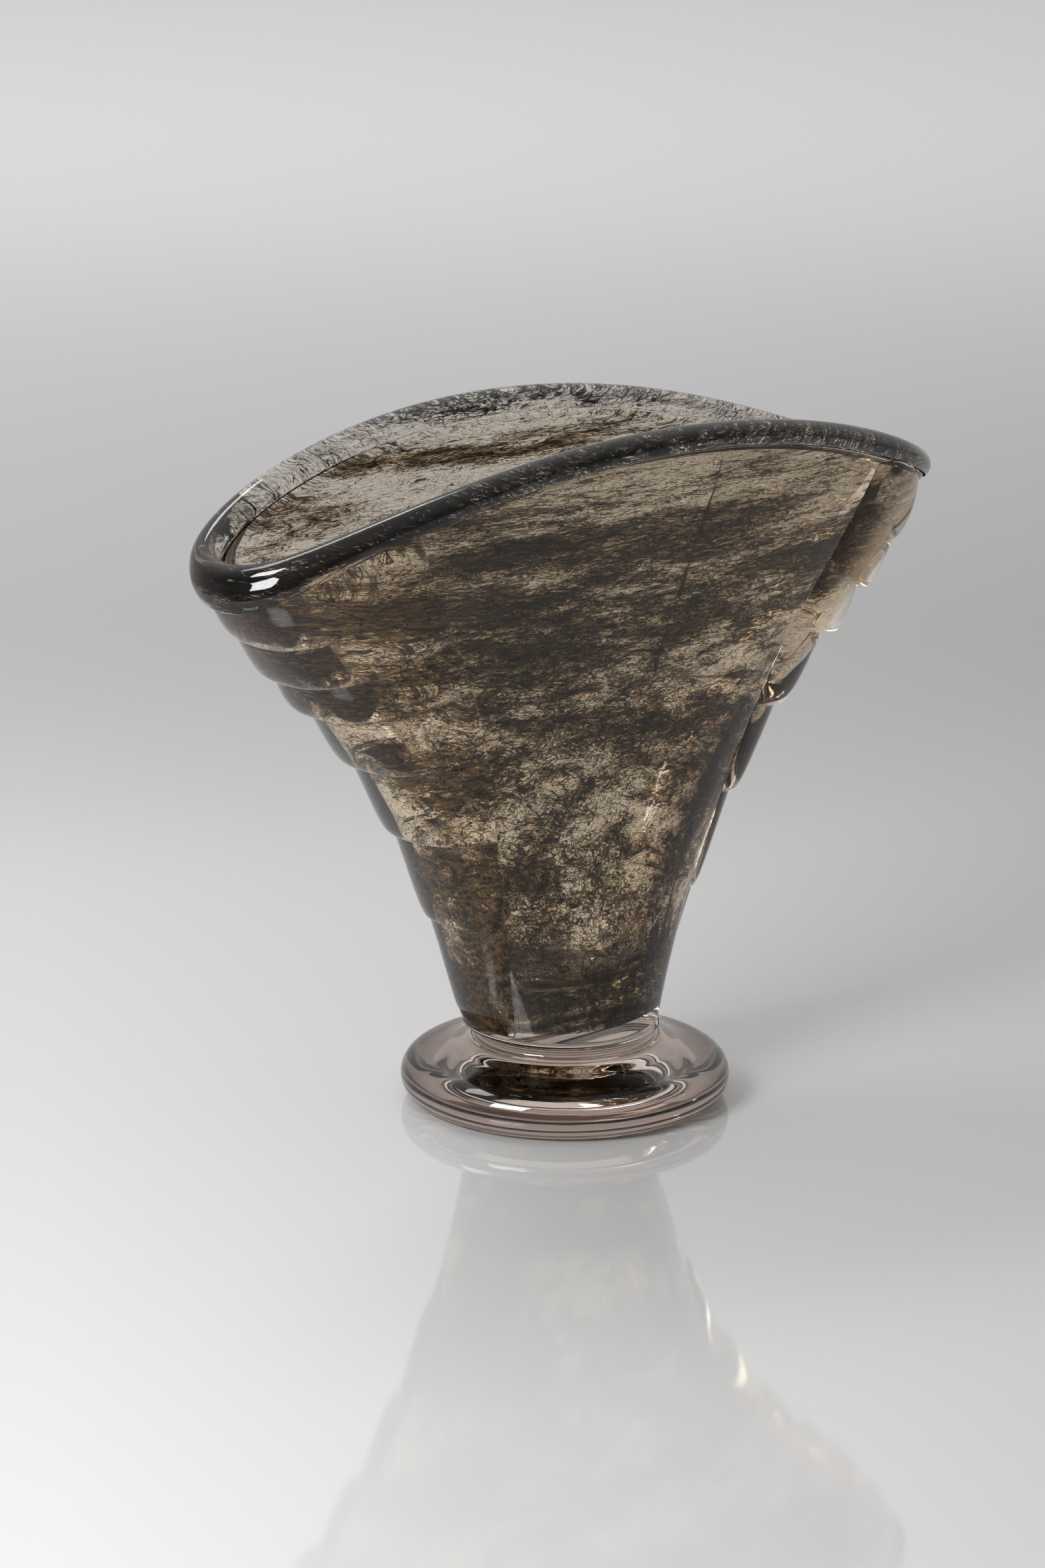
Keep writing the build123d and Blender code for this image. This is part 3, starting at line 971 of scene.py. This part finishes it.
# %% [markdown]
# ## Dress the pieces
# Each piece gets its finishes in the order of its face slots, rides on the vase's one body, and
# takes the place of its solid part.

# %% Dress and attach the pieces
def dress(piece, node, materials):
    """Gives a piece its finishes, hangs it on the root body and hides the solid part it stands for."""
    for material in materials:
        piece.data.materials.append(material)
    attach(piece, "root")
    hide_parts(node)


dress(casing, "casing", (body_glass, fused_join))
dress(lining, "lining", (body_glass, fused_join))
dress(web, "filament_layer", (oxide, haze))
dress(left_panel, "left_ribbed_panel", (body_glass, fused_join))
dress(right_panel, "right_ribbed_panel", (body_glass, fused_join))
dress(lip, "lip", (lip_glass, fused_join, lip_oxide))
dress(foot, "foot", (foot_glass, fused_join))
dress(collar, "collar", (foot_glass, fused_join))
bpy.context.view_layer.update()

# %% [markdown]
# ## Camera
# The photograph was taken with a long lens from a little above the rim, nearer to the left end
# of the fan. The camera stands on the line through the foot's axis, turned by pan and pitch.

# %% Camera
VIEW_ANGLE = radians(41.06)
CAMERA_DISTANCE = 1.2711
CAMERA_HEIGHT = 0.4291
PAN = radians(-0.557)
PITCH = radians(14.818)
LENS = 105.0
SENSOR = 36.0

level_forward = np.array([sin(VIEW_ANGLE), cos(VIEW_ANGLE), 0.0])
level_right = np.array([cos(VIEW_ANGLE), -sin(VIEW_ANGLE), 0.0])
upright = np.array([0.0, 0.0, 1.0])
forward = level_forward * cos(PAN) + level_right * sin(PAN)
right = level_right * cos(PAN) - level_forward * sin(PAN)
ahead = forward * cos(PITCH) - upright * sin(PITCH)
above = upright * cos(PITCH) + forward * sin(PITCH)


def stand(thing, place, right, above, back):
    """Links an object into the scene at a place, with its own axes along three directions."""
    bpy.context.scene.collection.objects.link(thing)
    matrix = np.eye(4)
    matrix[:3] = np.stack([right, above, back, place], -1)
    thing.matrix_world = matrix.T.tolist()


camera_data = bpy.data.cameras.new("camera")
camera_data.lens = LENS
camera_data.sensor_width = SENSOR
camera = bpy.data.objects.new("camera", camera_data)
camera_place = -level_forward * CAMERA_DISTANCE + upright * CAMERA_HEIGHT
stand(camera, camera_place, right, above, -ahead)
bpy.context.scene.camera = camera
print("camera at", camera_place.round(3).tolist())

# %% [markdown]
# ## Stage and light
# The floor is pale with a soft sheen, and light and shade are painted into its tone along the camera's
# line of sight: painted shade falls softly to a darker zone behind the vase, painted light rises again
# towards the far end, and the left is painted a little brighter, as if lit from that side. A curved
# sheet of card under studio lamps would give such light and shade itself.

# %% Floor
FLOOR_HALF = 9.0
FLOOR_LEVEL = -0.0002
FRONT_PLACE, CHANGE_PLACE, FAR_PLACE = -1.0, 0.338, 3.4
# Painted shade: the near tones fall towards the vase, and the far tones rise from a darker zone behind it.
NEAR_PAINTED_SHADE = (0.82, 0.54)
FAR_PAINTED_SHADE = (0.34, 0.95)
# Painted light from the left: the side tones brighten the left of the floor and darken the right.
SIDE_BEARINGS, SIDE_PAINTED_LIGHT = (-0.12, 0.12), (1.06, 0.80)
NEAREST_SHARE = 0.5
FLOOR_ROUGHNESS, FLOOR_IOR = 0.05, 1.8

floor_mesh = bpy.data.meshes.new("floor")
signs = ((-1, -1), (1, -1), (1, 1), (-1, 1))
corners = [(x * FLOOR_HALF, y * FLOOR_HALF, FLOOR_LEVEL) for x, y in signs]
floor_mesh.from_pydata(corners, [], [(0, 1, 2, 3)])
floor = bpy.data.objects.new("floor", floor_mesh)
bpy.context.scene.collection.objects.link(floor)

material, nodes, links, output = new_material("pale_floor_painted_light")
floor_place = object_place(nodes)
depth = reach_along(nodes, links, floor_place, level_forward)
# Painted shade along the line of sight: darker behind the vase, lighter again towards the far end.
tone = nodes.new("ShaderNodeMix")
links.new(smooth_step(nodes, links, depth, 0.5 * CHANGE_PLACE, 2 * CHANGE_PLACE), tone.inputs["Factor"])
links.new(ramp(nodes, links, depth, (FRONT_PLACE, CHANGE_PLACE), NEAR_PAINTED_SHADE), tone.inputs["A"])
links.new(ramp(nodes, links, depth, (CHANGE_PLACE, FAR_PLACE), FAR_PAINTED_SHADE), tone.inputs["B"])
# Painted side light: the floor is brighter on the left and darker on the right.
away = math_node(nodes, links, "ADD", depth, CAMERA_DISTANCE)
away = math_node(nodes, links, "MAXIMUM", away, NEAREST_SHARE * CAMERA_DISTANCE)
across = reach_along(nodes, links, floor_place, level_right)
bearing = math_node(nodes, links, "DIVIDE", across, away)
painted_side_light = ramp(nodes, links, bearing, SIDE_BEARINGS, SIDE_PAINTED_LIGHT)
painted_floor_tone = math_node(nodes, links, "MULTIPLY", tone.outputs["Result"], painted_side_light)
shader = nodes.new("ShaderNodeBsdfPrincipled")
links.new(painted_floor_tone, shader.inputs["Base Color"])
shader.inputs["Roughness"].default_value = FLOOR_ROUGHNESS
shader.inputs["IOR"].default_value = FLOOR_IOR
links.new(shader.outputs[0], output.inputs["Surface"])
floor_mesh.materials.append(material)
print("floor:", 2 * FLOOR_HALF, "m wide")

# %% [markdown]
# Dark glass is shown by what stands behind it, so the sky is brightest behind the vase and
# overhead, and dim on the camera's side, where it would only veil the web. Where the camera looks
# straight at the sky it sees one plain pale tone.

# %% Sky
SKY_FRONT = 0.18
SKY_BEHIND, BEHIND_COSINES = 0.36, (-0.2, 0.7)
SKY_ABOVE, ABOVE_COSINES = 0.38, (0.1, 1.0)
SKY_SEEN = 0.62
world = bpy.data.worlds.new("soft_sky")
bpy.context.scene.world = world
world.use_nodes = True
nodes, links = world.node_tree.nodes, world.node_tree.links
looking = nodes.new("ShaderNodeTexCoord").outputs["Generated"]
behind = smooth_step(nodes, links, reach_along(nodes, links, looking, level_forward), *BEHIND_COSINES)
overhead = smooth_step(nodes, links, reach_along(nodes, links, looking, upright), *ABOVE_COSINES)
strength = math_node(nodes, links, "MULTIPLY_ADD", behind, SKY_BEHIND, SKY_FRONT)
strength = math_node(nodes, links, "MULTIPLY_ADD", overhead, SKY_ABOVE, strength)
seen = nodes.new("ShaderNodeMix")
links.new(nodes.new("ShaderNodeLightPath").outputs["Is Camera Ray"], seen.inputs["Factor"])
links.new(strength, seen.inputs["A"])
seen.inputs["B"].default_value = SKY_SEEN
links.new(seen.outputs["Result"], nodes["Background"].inputs["Strength"])
nodes["Background"].inputs["Color"].default_value = (1, 1, 1, 1)
print("sky from", SKY_FRONT, "to", round(SKY_FRONT + SKY_BEHIND + SKY_ABOVE, 2))

# %% [markdown]
# A soft lamp in front and to the left gives the lip and the foot their highlights, a wide one
# lights the far floor, and a long one overhead draws a line along the rim. Light crosses many faces
# in this wall, so the render is allowed many bounces.

# %% Lamps
VASE_MIDDLE = (0, 0, 0.1)
BOUNCES = 32
SEE_THROUGH_BOUNCES = 64


def soft_lamp(name, place, target, size, power):
    """A rectangular soft lamp at a place, turned to a target."""
    lamp_data = bpy.data.lights.new(name, "AREA")
    lamp_data.shape = "RECTANGLE"
    lamp_data.size, lamp_data.size_y = size
    lamp_data.energy = power
    back = np.array(place) - np.array(target)
    back /= np.linalg.norm(back)
    side = np.cross(upright, back)
    side /= np.linalg.norm(side)
    stand(bpy.data.objects.new(name, lamp_data), place, side, np.cross(back, side), back)


key_place = -level_right * 0.95 - level_forward * 1.0 + upright * 1.05
backdrop_place = level_forward * 1.9 + upright * 1.5
overhead_place = -level_right * 0.5 + level_forward * 0.5 + upright * 1.2
soft_lamp("key", key_place, VASE_MIDDLE, (0.7, 0.5), 22.0)
soft_lamp("backdrop", backdrop_place, level_forward * 3.2, (2.4, 0.8), 22.0)
soft_lamp("overhead", overhead_place, VASE_MIDDLE, (0.9, 0.3), 5.0)

scene = bpy.context.scene
scene.view_settings.view_transform = "Standard"
scene.cycles.max_bounces = BOUNCES
scene.cycles.transmission_bounces = BOUNCES
scene.cycles.transparent_max_bounces = SEE_THROUGH_BOUNCES
